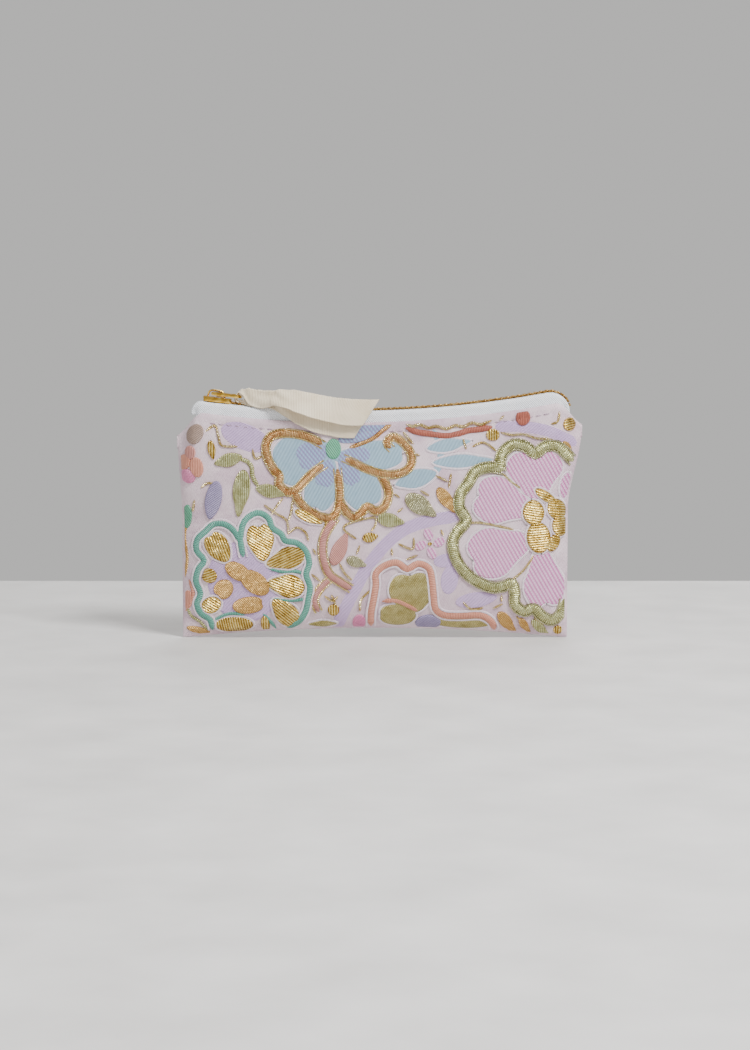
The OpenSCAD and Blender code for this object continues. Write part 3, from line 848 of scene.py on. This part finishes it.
# Strands: finish, width, height, then the route's points
STRANDS = (
    ("copper", 2.7, 1.1, (
        (-20.6, 72.4), (-25, 74.8), (-30, 76.4), (-35.8, 76.8), (-40.2, 75.6), (-42, 72),
        (-41.2, 67.4), (-39, 63.4), (-37, 61.2), (-37, 58), (-34, 55.2), (-30.6, 56.2), (-27, 60),
        (-23.5, 63.2), (-19.8, 65.6),
    )),
    ("copper", 2.6, 1.1, (
        (-31, 57), (-30.6, 53.2), (-27.5, 49.4), (-23, 46.6), (-18.4, 45.6), (-15.6, 48.4),
        (-14.7, 55), (-15.6, 64),
    )),
    ("copper", 2.6, 1.1, (
        (-14.8, 52.5), (-12.4, 48), (-9.4, 46), (-6.6, 47.8), (-4.6, 50), (-1.6, 48.2),
        (1.4, 49.4), (3, 52.6), (3.1, 56.4), (0.6, 61.2),
    )),
    ("copper", 2.5, 1.1, (
        (-13.6, 67.8), (-9, 65.8), (-5, 63.8), (0.6, 62), (6.2, 61.8), (10.6, 63.8), (11.9, 68),
        (9.6, 72.4), (5.4, 75.4), (2.6, 73.4), (4.6, 70.8),
    )),
    ("copper", 1.8, 0.9, ((-11.6, 71.2), (-6.6, 73), (-2.6, 74.8), (0.8, 77.6), (3.2, 79.6), (5, 82))),
    ("salmon", 2.8, 1.0, (
        (-16.2, 46), (-19.2, 41.4), (-20.9, 37), (-20.9, 31.4), (-18.8, 25), (-15, 22),
        (-10.4, 19.2),
    )),
    ("salmon", 2.4, 1.0, ((-17.8, 23.4), (-22, 19.4), (-24.2, 14.8), (-22.6, 10.4))),
    ("teal", 2.7, 1.1, (
        (-51.2, 36), (-53.4, 40.4), (-57, 43.2), (-61.2, 43.2), (-64.4, 40.4), (-67.4, 37.4),
        (-67.8, 33.2), (-65, 29.6), (-67.2, 26.2), (-68.2, 21.6), (-66.6, 17), (-68, 13),
        (-66.4, 9.2), (-63.2, 7), (-62.4, 3),
    )),
    ("teal", 2.7, 1.1, (
        (-50.4, 31), (-51.4, 38.4), (-49.8, 44.6), (-45.2, 47.6), (-41.2, 45.8), (-39.6, 42),
        (-36.4, 39.8), (-34.8, 37.2), (-30.6, 36.4), (-27.2, 33.4), (-26, 28.8), (-27.2, 24.8),
        (-25.8, 20.2), (-26.4, 15.6), (-27.6, 10.4), (-30.4, 6.4), (-35, 3.8),
    )),
    ("teal", 1.3, 0.7, ((-41.5, 27), (-36, 25.6), (-31, 25.8), (-27.4, 24.6))),
    ("teal", 1.3, 0.7, ((-40.5, 15.6), (-35, 14.8), (-31, 14.8), (-26.6, 15.4))),
    ("teal", 1.3, 0.7, ((-43.4, 9.6), (-40.6, 6.4), (-38.6, 3.4))),
    ("teal", 1.3, 0.7, ((-62.4, 6.4), (-56, 9.4), (-50, 9))),
    ("olive", 3.6, 1.5, (
        (44.6, 62.6), (44.4, 66), (45.6, 70), (49.6, 72.8), (54, 71.8), (57.4, 69.4), (61, 72),
        (65.4, 72), (69, 69), (71.8, 66.4),
    )),
    ("olive", 3.6, 1.5, (
        (46, 63.6), (40.6, 64.4), (35.4, 62.8), (32.6, 58.4), (29.8, 54.4), (29.4, 49.6),
        (32, 44.8), (29.4, 41.4), (27.2, 37.6), (27.4, 33), (29.6, 28), (33.4, 23.8), (38, 21),
        (42, 19.6), (45.8, 20), (49.2, 21), (50.2, 17.4), (50.4, 13), (53.8, 10.4), (57.4, 11.4),
        (60.6, 8.4), (64.4, 6.8), (67.8, 9.6), (69, 14.6),
    )),
    ("gold_fine", 1.0, 0.6, ((45, 62.4), (48.6, 59), (53.2, 56))),
    ("gold_fine", 1.0, 0.6, ((31.6, 43.8), (38, 43.8), (44, 42.6), (50.2, 41))),
    ("gold_fine", 1.0, 0.6, ((48.6, 22), (52.4, 25), (55.4, 28.6), (57.6, 32.4))),
    ("coral", 3.0, 1.2, (
        (-3.2, 4.6), (-3.2, 9.8), (-2.2, 15.4), (-1.4, 21), (-1.4, 25), (1.8, 28), (6.4, 29.2),
        (10.2, 26.8), (14.2, 28.8), (18.2, 27), (19.4, 22.4), (20, 16.6), (20.8, 11.6), (24, 9.2),
        (30, 8.8), (37.4, 9), (41.6, 6.6), (43, 3),
    )),
    ("coral", 1.7, 1.35, ((1, 14.4), (6, 14.8), (11, 12.6), (14.6, 10.6))),
    ("lavender", 4.6, 0.2, (
        (-16, 3.4), (-14.4, 8), (-10.6, 16), (-6.5, 24), (-2.6, 30), (1.8, 35.4), (7, 40),
        (12.3, 42.8), (20, 45), (29.6, 46.4),
    )),
    ("lavender", 4.2, 0.2, ((42.6, 79.2), (50, 79.4), (59, 78.4), (66, 76.2), (73, 72.4))),
    ("blue", 2.6, 0.25, ((19.8, 78), (21.6, 74.6), (22.6, 69), (21.4, 64), (18, 61))),
    ("rust", 2.2, 0.9, (
        (9.6, 78.8), (14, 77.2), (19, 76.5), (24.5, 75.8), (29, 76.6), (33, 77.8), (37, 78.2),
        (41.6, 79.2),
    )),
    ("gold_fine", 1.3, 0.8, (
        (9.6, 80.3), (12, 79.4), (15, 79.9), (18, 78.8), (21, 79.4), (24.5, 78.4), (28, 79.6),
        (31, 79.2), (34, 80.6), (37.4, 80), (41.4, 81.6),
    )),
    ("olive", 1.7, 0.8, ((-52, 67.4), (-49, 66.6), (-47.2, 64.4), (-46.8, 61), (-44.6, 57))),
    ("coral", 1.4, 0.7, ((-72.4, 10), (-69.4, 16), (-71, 22))),
    ("ochre", 1.2, 0.6, ((-73, 22), (-71.6, 30), (-72.6, 38), (-71.4, 44))),
    ("olive", 1.2, 0.6, ((-64, 2.4), (-67, 6), (-70.4, 8.4), (-72, 12))),
)

# Gold twigs, 0.6 mm wide: the route's points
TWIGS = (
    ((-64.2, 77.5), (-60.7, 79.6), (-59.4, 75.5), (-58.1, 72.3), (-52.3, 72)),
    ((-46.9, 71.1), (-45.9, 67.6), (-43.3, 68.4)),
    ((-42.7, 50.5), (-38.2, 47.3), (-34.3, 44.7), (-33.7, 39.6)),
    ((-35.6, 53.1), (-38, 50), (-40.1, 46.6)),
    ((-32.1, 52.4), (-32.6, 48), (-33.7, 44.7)),
    ((-33.7, 39.8), (-30.5, 42.1), (-27.3, 40.2), (-26.3, 37)),
    ((-24.7, 34.4), (-23.4, 31.9)),
    ((-25.3, 24.8), (-22.1, 22.2)),
    ((-8.5, 37.9), (-13.1, 41.4), (-11.3, 43.7), (-2.2, 45.9), (-1.6, 43.1), (-3.3, 40.8)),
    ((-7.3, 35.7), (-8.5, 32.2)),
    ((-14.8, 28.8), (-13, 25.2), (-10.2, 22.5)),
    ((-2.8, 19.1), (-6.8, 15.1), (-7.3, 10.5)),
    ((-18, 17), (-16.6, 14), (-17.1, 11.1)),
    ((-20.4, 16.6), (-17.6, 14.6), (-15.4, 16.4)),
    ((6.9, 36.2), (12.1, 34.2), (12.6, 38.5)),
    ((4.7, 31.7), (4.4, 34.5)),
    ((9.8, 30.2), (14.1, 31.9)),
    ((14.9, 55.9), (18.4, 53.9)),
    ((5.2, 54.8), (7.5, 53.1)),
    ((20.6, 61.4), (25.2, 59.1)),
    ((26.4, 62.2), (25.5, 56.8)),
    ((6.4, 47.7), (8.7, 49.4)),
    ((8.6, 77.3), (10.6, 75), (12.6, 72.8)),
    ((13.2, 69.4), (14.9, 68.5)),
    ((30.7, 75), (32, 70.8)),
    ((34.1, 71.8), (38.5, 73.4), (43.2, 70.2)),
    ((44.6, 77.2), (48.6, 76.2), (53, 76.4), (57.9, 75), (62.6, 74.6), (66, 73)),
    ((66.3, 84.8), (65.7, 81.2), (63.1, 80.2)),
    ((44.3, 81.8), (45.9, 83.3)),
    ((45.3, 16.8), (45.3, 14)),
    ((42.1, 11.5), (45.9, 13.3)),
    ((51, 8.4), (52.6, 6.6)),
    ((57.6, 8.4), (59, 6.6), (62.4, 5.2)),
    ((-68.6, 52), (-69.2, 47.6)),
    ((-66, 56.6), (-63.6, 58.4), (-60.4, 58)),
    ((22.6, 41.4), (23.6, 39)),
    ((31, 14.2), (34, 11.4), (38.6, 11.8)),
)


class POUCH_PG_colours(bpy.types.PropertyGroup):
    ground_tint: FloatVectorProperty(
        name="Ground tint",
        description="Multiplies the satin ground's own colours",
        default=(1.0, 0.95, 0.96),
        min=0.0,
        max=1.0,
        size=3,
        subtype="COLOR",
    )
    wall: FloatVectorProperty(
        name="Surroundings",
        description="Colour of the studio around the pouch",
        default=(0.58, 0.575, 0.565),
        min=0.0,
        max=1.0,
        size=3,
        subtype="COLOR",
    )


class POUCH_PG_sizes(bpy.types.PropertyGroup):
    cloth_thickness: FloatProperty(
        name="Cloth thickness",
        description="Thickness of the outer cloth in millimetres",
        default=0.4,
        min=0.2,
        max=0.6,
    )
    ribbon_thickness: FloatProperty(
        name="Ribbon thickness",
        description="Thickness of the ribbon in millimetres",
        default=0.32,
        min=0.2,
        max=0.5,
    )
    cloth_columns: IntProperty(
        name="Cloth columns",
        description="Divisions across each wall",
        default=230,
        min=40,
        max=260,
    )
    cloth_rows: IntProperty(
        name="Cloth rows",
        description="Divisions up each wall",
        default=125,
        min=30,
        max=150,
    )
    camera_distance: FloatProperty(
        name="Camera distance",
        description="From the camera to the middle of the pouch",
        default=0.9,
        min=0.3,
        max=3.0,
        unit="LENGTH",
    )


def side_name(side):
    return "front" if side == FRONT else "back"


class POUCH_OT_walls(bpy.types.Operator):
    """Outer cloth of both walls, folded over along the zip"""

    bl_idname = "pouch.walls"
    bl_label = "Outer cloth"

    def execute(self, context):
        sizes = context.scene.pouch_sizes
        fold_from, fold_r, tuck = 0.95, 0.5, 4.5
        for side in (FRONT, BACK):

            def place(u, t, side=side):
                u = math.sin(u * math.pi / 2)
                if t <= fold_from:
                    return cloth_point(u, (t / fold_from) ** 1.35, side) * MM
                k = (t - fold_from) / (1 - fold_from)
                turn = math.pi * min(1.0, k / 0.6)
                start = cloth_point(u, 1.0, side)
                start.y -= side * min(fold_r * (1 - math.cos(turn)), abs(start.y) * 0.9)
                start.z += fold_r * math.sin(turn) - tuck * max(0.0, (k - 0.6) / 0.4)
                return start * MM

            bm = sheet_grid(sizes.cloth_columns, sizes.cloth_rows, place)
            face_outward(bm, side)
            piece = add_piece(f"cloth_{side_name(side)}", bm, palette()["ground"])
            give_thickness(piece, sizes.cloth_thickness)
            mount(piece, side)
            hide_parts(f"outer_{side_name(side)}")
        return {"FINISHED"}


class POUCH_OT_inner_layers(bpy.types.Operator):
    """Interfacing and lining of both walls"""

    bl_idname = "pouch.inner_layers"
    bl_label = "Interfacing and lining"

    def execute(self, context):
        layers = (
            ("interfacing", INTERFACING_DEPTH, 2.0, 2.0, 0.4, 0.0),
            ("lining", LINING_DEPTH, 4.0, 1.2, 0.35, 0.35),
        )
        for side in (FRONT, BACK):
            for name, depth, inset, top_inset, thickness, slack in layers:

                def place(u, t, side=side, depth=depth, inset=inset, top_inset=top_inset, slack=slack):
                    x, y, z = wall_point(math.sin(u * math.pi / 2), t**1.3, depth, inset, top_inset)
                    edge = (1 - abs(u) ** 6) * min(1.0, t * 8) * min(1.0, (1 - t) * 8)
                    y -= slack * edge * (1 + noise.noise(Vector((x / 14, z / 30, side * 3.1))))
                    return Vector((x, side * max(0.1, y), z)) * MM

                bm = sheet_grid(120, 70, place)
                face_outward(bm, side)
                piece = add_piece(f"{name}_layer_{side_name(side)}", bm, palette()[name])
                give_thickness(piece, thickness)
                mount(piece, side)
                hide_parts(f"{name}_{side_name(side)}")
        return {"FINISHED"}


def tape_point(s, k, side):
    """A place on one zip tape: k runs from its corded edge, over the turn and down between the layers."""
    x, z, slope = chain_at(s)
    parted = 0.85 + 0.75 * (1 - ease(FIRST_TOOTH - 1.8, FIRST_TOOTH + 0.4, s))
    # past the stops the two tapes come together
    parted = mix(parted, 0.25, max(ease(56, 59, -s), ease(81.8, 84, s)))
    turn_y, level_y, drop, dip = 4.6, 3.85, 1.5, 0.2
    top = top_z(x)
    u, _ = wall_place(x, top)
    wall_y = half_thickness(u, 1.0, TAPE_DEPTH)
    turn_y = min(turn_y, wall_y - 0.05)
    flat, bend = 0.25, 0.65
    level_y = min(level_y, turn_y)
    if k < flat:
        y, h = mix(min(parted, level_y), level_y, k / flat), -dip * ease(0.5, 1, k / flat)
    elif k < bend:
        a = (k - flat) / (bend - flat) * math.pi / 2
        y, h = level_y + (turn_y - level_y) * math.sin(a), drop * (math.cos(a) - 1) - dip
    else:
        y, h = turn_y, -drop - dip
    x -= math.sin(slope) * h
    z += math.cos(slope) * h
    if k >= bend:
        t = (k - bend) / (1 - bend)
        low = top - 6
        z = mix(z, low, t)
        v = (z - bottom_z(x) - 2.2) / (top - bottom_z(x) - 4.4)
        y = mix(y, half_thickness(u, min(1.0, v), TAPE_DEPTH) + 0.1, ease(0, 1, t))
    y += 0.12 * noise.noise(Vector((s / 5, k * 4, side)))
    return Vector((x, side * y, z)) * MM


class POUCH_OT_tapes(bpy.types.Operator):
    """Woven zip tapes, bent down between the cloth and the lining"""

    bl_idname = "pouch.tapes"
    bl_label = "Zip tapes"

    def execute(self, context):
        for side in (FRONT, BACK):

            def place(u, t, side=side):
                return tape_point(mix(TAPE_LEFT, TAPE_RIGHT, (u + 1) / 2), t, side)

            bm = sheet_grid(180, 26, place)
            face_outward(bm, side)
            piece = add_piece(f"tape_{side_name(side)}", bm, palette()["tape"])
            give_thickness(piece, 0.42, 0.0)
            mount(piece, side)
            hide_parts(f"zip_tape_{side_name(side)}")
        return {"FINISHED"}


def softened(node, name, material, width, segments=2):
    """A copy of a mechanical node with its sharp edges rounded."""
    bm = bmesh.new()
    bm.from_mesh(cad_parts[node].data)
    bmesh.ops.remove_doubles(bm, verts=bm.verts, dist=1e-6)
    bmesh.ops.dissolve_limit(bm, angle_limit=math.radians(4), verts=bm.verts, edges=bm.edges)
    sharp = [edge for edge in bm.edges if len(edge.link_faces) == 2]
    sharp = [edge for edge in sharp if edge.calc_face_angle(0) > math.radians(35)]
    bmesh.ops.bevel(
        bm,
        geom=sharp,
        offset=width * MM,
        offset_type="OFFSET",
        affect="EDGES",
        segments=segments,
        profile=0.5,
        material=-1,
        clamp_overlap=True,
    )
    piece = add_piece(name, bm, material)
    piece.data.set_sharp_from_angle(angle=math.radians(40))
    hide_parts(node)
    return piece


class POUCH_OT_zip_metal(bpy.types.Operator):
    """Teeth, stops, slider, crown, lock pin and pull tab with worn, rounded edges"""

    bl_idname = "pouch.zip_metal"
    bl_label = "Zip metal"

    def execute(self, context):
        brass, plate = palette()["brass"], palette()["plate"]
        for side in (FRONT, BACK):
            piece = softened(f"zip_teeth_{side_name(side)}", f"teeth_{side_name(side)}", brass, 0.2, 1)
            mount(piece, side)
        for node in ("top_stop_front", "top_stop_back", "bottom_stop"):
            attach(softened(node, f"{node}_clip", brass, 0.2), "pouch")
        for node, body, width in (
            ("slider_body", "slider", 0.16),
            ("slider_crown", "slider", 0.3),
            ("lock_pin", "lock_pin", 0.06),
            ("pull_tab", "pull_tab", 0.26),
        ):
            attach(softened(node, f"{node}_cast", plate, width), body)
        return {"FINISHED"}


# The ribbon: x, y, z, turn of its width from level to upright, half of its folded width
RIBBON_ROUTE = (
    (0.0, -7.3, 80.0, 86, 4.95), (-6, -7.3, 80.0, 86, 4.95), (-12, -7.3, 80.2, 86, 4.95),
    (-18, -7.2, 80.8, 84, 4.9), (-24, -7.0, 82.0, 80, 4.8), (-30, -6.5, 84.2, 76, 4.4),
    (-35, -5.6, 86.6, 74, 3.7), (-39, -4.8, 88.4, 76, 3.0), (-41, -4.3, 88.9, 78, 3.0),
    (-44, -3.6, 89.0, 78, 3.2), (-48, -2.1, 88.9, 52, 2.8), (-50.8, -0.6, 88.6, 12, 1.7),
    (-52.5, 0, 88.9, 0, 1.4), (-53.2, 0, 90.1, 0, 1.4), (-52.5, 0, 91.5, 0, 1.4),
    (-50.8, -1.2, 91.9, 30, 2.1), (-48, -3.6, 90.2, 74, 3.2), (-44, -5.0, 89.3, 84, 3.4),
    (-41, -6.0, 89.5, 84, 3.1), (-39, -6.9, 89.8, 74, 2.9), (-35, -8.2, 89.7, 62, 3.9),
    (-30, -8.9, 88.6, 64, 4.6), (-24, -9.0, 87.0, 68, 4.85), (-18, -8.9, 85.7, 71, 4.9),
    (-12, -8.8, 84.9, 73, 4.95), (-6, -8.7, 84.6, 75, 4.95), (0.0, -8.7, 84.6, 76, 4.95),
)
RIBBON_HALF = 5.0


def folded_across(t, half):
    """Where a point t across the flat ribbon lies once the ribbon is folded to a narrower strip."""
    leg = int(t / (2 * half))
    rest = t - leg * 2 * half
    spread = 0.5 * min(1.0, (RIBBON_HALF - half) / 0.3)
    depth = spread * (leg + ease(2 * half - 0.5, 2 * half, rest))
    return (rest - half if leg % 2 == 0 else half - rest), depth


class POUCH_OT_ribbon(bpy.types.Operator):
    """Grosgrain ribbon through the pull tab's eye, gathered at the eye, with two cut tails"""

    bl_idname = "pouch.ribbon"
    bl_label = "Ribbon"

    def execute(self, context):
        steps = 9
        route = smooth_route(RIBBON_ROUTE_POINTS, steps)
        columns, rows = 40, len(route) - 1
        lengths = [0.0]
        for a, b in zip(route, route[1:]):
            lengths.append(lengths[-1] + (b.xyz - a.xyz).length)
        bm = bmesh.new()
        bmesh.ops.create_grid(bm, x_segments=columns, y_segments=rows, size=1.0)
        along = bm.verts.layers.float.new("along")
        for vertex in bm.verts:
            across = vertex.co.x
            i = round((vertex.co.y + 1) / 2 * rows)
            here = route[i].xyz
            turn, half = RIBBON_TURNS[i]
            wide = Vector((0, math.cos(turn), math.sin(turn)))
            run = (route[min(rows, i + 1)].xyz - route[max(0, i - 1)].xyz).normalized()
            out = run.cross(wide).normalized()
            side_on, depth = folded_across((across + 1) * RIBBON_HALF, half)
            # the spare width lies behind the strip in both tails, so it changes sides in the eye
            behind = math.cos(math.pi * ease(11 * steps, 15 * steps, i))
            ripple = 0.3 * noise.noise(Vector((lengths[i] / 11, across * 1.1, 7.0)))
            gathered = math.exp(-(((here.x + 40) / 7) ** 2))
            ripple += 0.4 * gathered * math.sin(across * 5.5 + here.x / 3)
            cut = 0.0
            if i < steps * 3 or i > rows - steps * 3:
                nearness = 1 - min(i, rows - i) / (steps * 3)
                up = across if wide.z > 0 else -across
                cut = (up - 1) * 3.1 * nearness - (3.2 * nearness if i < rows / 2 else 0.0)
            vertex.co = (here + wide * side_on + out * (depth * behind + ripple) + Vector((cut, 0, 0))) * MM
            vertex[along] = lengths[i]
        piece = add_piece("ribbon_strip", bm, palette()["ribbon"])
        give_thickness(piece, context.scene.pouch_sizes.ribbon_thickness, 0.0)
        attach(piece, "ribbon")
        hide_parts("ribbon")
        return {"FINISHED"}


def ribbon_stages():
    """The ribbon's route in finer steps, with its turn and half width at each."""
    coarse = [Vector(stage[:3]) for stage in RIBBON_ROUTE]
    steps = 9
    turns = []
    for a, b in zip(RIBBON_ROUTE, RIBBON_ROUTE[1:]):
        for k in range(steps):
            t = ease(0, 1, k / steps)
            turns.append((math.radians(mix(a[3], b[3], t)), mix(a[4], b[4], t)))
    turns.append((math.radians(RIBBON_ROUTE[-1][3]), RIBBON_ROUTE[-1][4]))
    return coarse, turns


RIBBON_ROUTE_POINTS, RIBBON_TURNS = ribbon_stages()


class POUCH_OT_motifs(bpy.types.Operator):
    """Raised flowers, leaves, cords and twigs woven on both walls"""

    bl_idname = "pouch.motifs"
    bl_label = "Woven motifs"

    def execute(self, context):
        for side in (FRONT, BACK):
            groups = {}

            def group(finish, layer, groups=groups):
                return groups.setdefault((finish, layer), bmesh.new())

            for finish, height, rib_angle, shape in LEAVES:
                layer = "low" if height < 0.35 else "high"
                add_patch(group(finish, layer), petal_outline(*shape), height, rib_angle)
                if finish in ("pink_stripe", "gold", "khaki", "blue") and shape[2] > 7:
                    border = petal_outline(*shape, grow=0.25)
                    add_strand(group("blush", "high"), border[::2], 0.9, 0.45 * height + 0.15, closed=True)
            for k in range(4):
                angle = 100 + 90 * k
                x = ROSE_X + ROSE_REACH * math.cos(math.radians(angle))
                z = ROSE_Z + ROSE_REACH * math.sin(math.radians(angle))
                add_patch(group("pink_stripe", "high"), petal_outline(x, z, 4.6, 3.2, angle + 20), 0.4)
            add_patch(group("gold", "high"), petal_outline(ROSE_X, ROSE_Z, 1.6, 1.4, 0), 0.5)
            for finish, width, height, route in STRANDS:
                layer = "low" if height < 0.35 else "high"
                add_strand(group(finish, layer), route, width, height, taper=2.5)
                # the gold and champagne edge threads are partly painted glint along the cord's edges
                edge_thread_and_glint = EDGE_THREADS_AND_GLINTS.get(finish)
                if edge_thread_and_glint and width > 2.2:
                    middle = smooth_route([(x, 0, z) for x, z in route], 3)
                    for offset in (-width / 2 - 0.1, width / 2 + 0.1):
                        path = beside(middle, offset)
                        add_strand(group(edge_thread_and_glint, "high"), path, 0.85, 0.8 * height, steps=1)
            for route in TWIGS:
                add_strand(group("gold_fine", "high"), route, 0.95, 0.8, taper=1.2)
            for (finish, layer), bm in groups.items():
                lay_on_cloth(bm, side, 0.02 if layer == "low" else 0.1)
                piece = add_piece(f"motif_{finish}_{layer}_{side_name(side)}", bm, palette()[finish])
                piece.data.set_sharp_from_angle(angle=math.radians(55))
                mount(piece, side)
        return {"FINISHED"}


class POUCH_OT_stitches(bpy.types.Operator):
    """Topstitching below the folded edge, and the hidden seam threads"""

    bl_idname = "pouch.stitches"
    bl_label = "Stitches"

    def execute(self, context):
        length, step, radius, below = 2.3, 3.0, 0.2, 3.0
        count = int(2 * SHOULDER_START / step)
        for side in (FRONT, BACK):
            bm = bmesh.new()
            for i in range(count):
                x = (i - (count - 1) / 2) * step
                ball = bmesh.ops.create_uvsphere(bm, u_segments=8, v_segments=7, radius=1.0)["verts"]
                for vertex in ball:
                    px = x + vertex.co.z * length / 2
                    z = top_z(px) - below + vertex.co.y * radius
                    dip = 0.22 * vertex.co.z**2
                    u, v = wall_place(px, z)
                    vertex.co = on_cloth(u, v, side, 0.2 - dip + vertex.co.x * radius)
            bmesh.ops.recalc_face_normals(bm, faces=bm.faces)
            piece = add_piece(f"stitches_{side_name(side)}", bm, palette()["thread"])
            mount(piece, side)
            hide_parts(f"topstitch_{side_name(side)}")
        for node in (
            "side_seam_thread_left",
            "side_seam_thread_right",
            "bottom_seam_thread",
            "lining_seam_thread",
        ):
            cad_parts[node].data.materials.clear()
            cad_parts[node].data.materials.append(palette()["thread"])
        return {"FINISHED"}


class POUCH_OT_stage(bpy.types.Operator):
    """Plain pale floor, soft studio light and the camera"""

    bl_idname = "pouch.stage"
    bl_label = "Stage"

    def execute(self, context):
        scene = context.scene
        bm = bmesh.new()
        bmesh.ops.create_grid(bm, x_segments=8, y_segments=8, size=0.5)
        for vertex in bm.verts:
            vertex.co.y = mix(-0.6, 0.165, vertex.co.y + 0.5)
            vertex.co.x *= 1.6
            vertex.co.z = -0.00015
        floor = add_piece("floor", bm, plain_paint("pale_stone_floor", "#C9C7C5", "#D8D6D4", 30.0))

        world = bpy.data.worlds.new("studio")
        world.use_nodes = True
        world.node_tree.nodes["Background"].inputs["Color"].default_value = (*scene.pouch_colours.wall, 1.0)
        world.node_tree.nodes["Background"].inputs["Strength"].default_value = 1.0
        scene.world = world

        target = Vector((-0.0017, 0, 0.0421))
        for name, place, size, power in (
            ("key_light", (0.5, -0.6, 0.85), 0.35, 20.0),
            ("fill_light", (-0.8, -0.7, 0.5), 0.9, 2.0),
            ("back_light", (0.2, 0.8, 0.9), 0.6, 6.0),
        ):
            lamp = bpy.data.lights.new(name, "AREA")
            lamp.size = size
            lamp.energy = power
            light = bpy.data.objects.new(name, lamp)
            light.location = place
            light.rotation_euler = (target - Vector(place)).to_track_quat("-Z", "Y").to_euler()
            scene.collection.objects.link(light)

        lens = bpy.data.cameras.new("camera")
        lens.sensor_fit = "HORIZONTAL"
        lens.sensor_width = 36.0
        lens.lens = 36.0 * scene.pouch_sizes.camera_distance / 0.2798
        camera = bpy.data.objects.new("camera", lens)
        raised = math.radians(6.0)
        outward = Vector((0, -math.cos(raised), math.sin(raised)))
        camera.location = target + scene.pouch_sizes.camera_distance * outward
        camera.rotation_euler = (target - camera.location).to_track_quat("-Z", "Y").to_euler()
        scene.collection.objects.link(camera)
        scene.camera = camera
        return {"FINISHED"}


OPERATORS = (
    POUCH_OT_stage,
    POUCH_OT_walls,
    POUCH_OT_inner_layers,
    POUCH_OT_tapes,
    POUCH_OT_zip_metal,
    POUCH_OT_motifs,
    POUCH_OT_stitches,
    POUCH_OT_ribbon,
)


class POUCH_PT_panel(bpy.types.Panel):
    """Lists the pouch's pieces and settings"""

    bl_idname = "POUCH_PT_panel"
    bl_label = "Zip pouch"
    bl_space_type = "VIEW_3D"
    bl_region_type = "UI"
    bl_category = "Pouch"

    def draw(self, context):
        layout = self.layout
        for group in (context.scene.pouch_sizes, context.scene.pouch_colours):
            for name in group.__annotations__:
                layout.prop(group, name)
        for operator in OPERATORS:
            layout.operator(operator.bl_idname)


CLASSES = (POUCH_PG_colours, POUCH_PG_sizes, *OPERATORS, POUCH_PT_panel)


def register():
    for cls in CLASSES:
        bpy.utils.register_class(cls)
    bpy.types.Scene.pouch_colours = PointerProperty(type=POUCH_PG_colours)
    bpy.types.Scene.pouch_sizes = PointerProperty(type=POUCH_PG_sizes)


def unregister():
    del bpy.types.Scene.pouch_sizes
    del bpy.types.Scene.pouch_colours
    for cls in reversed(CLASSES):
        bpy.utils.unregister_class(cls)


def main():
    register()
    for operator in OPERATORS:
        group, name = operator.bl_idname.split(".")
        getattr(getattr(bpy.ops, group), name)()


if __name__ == "__main__":
    main()
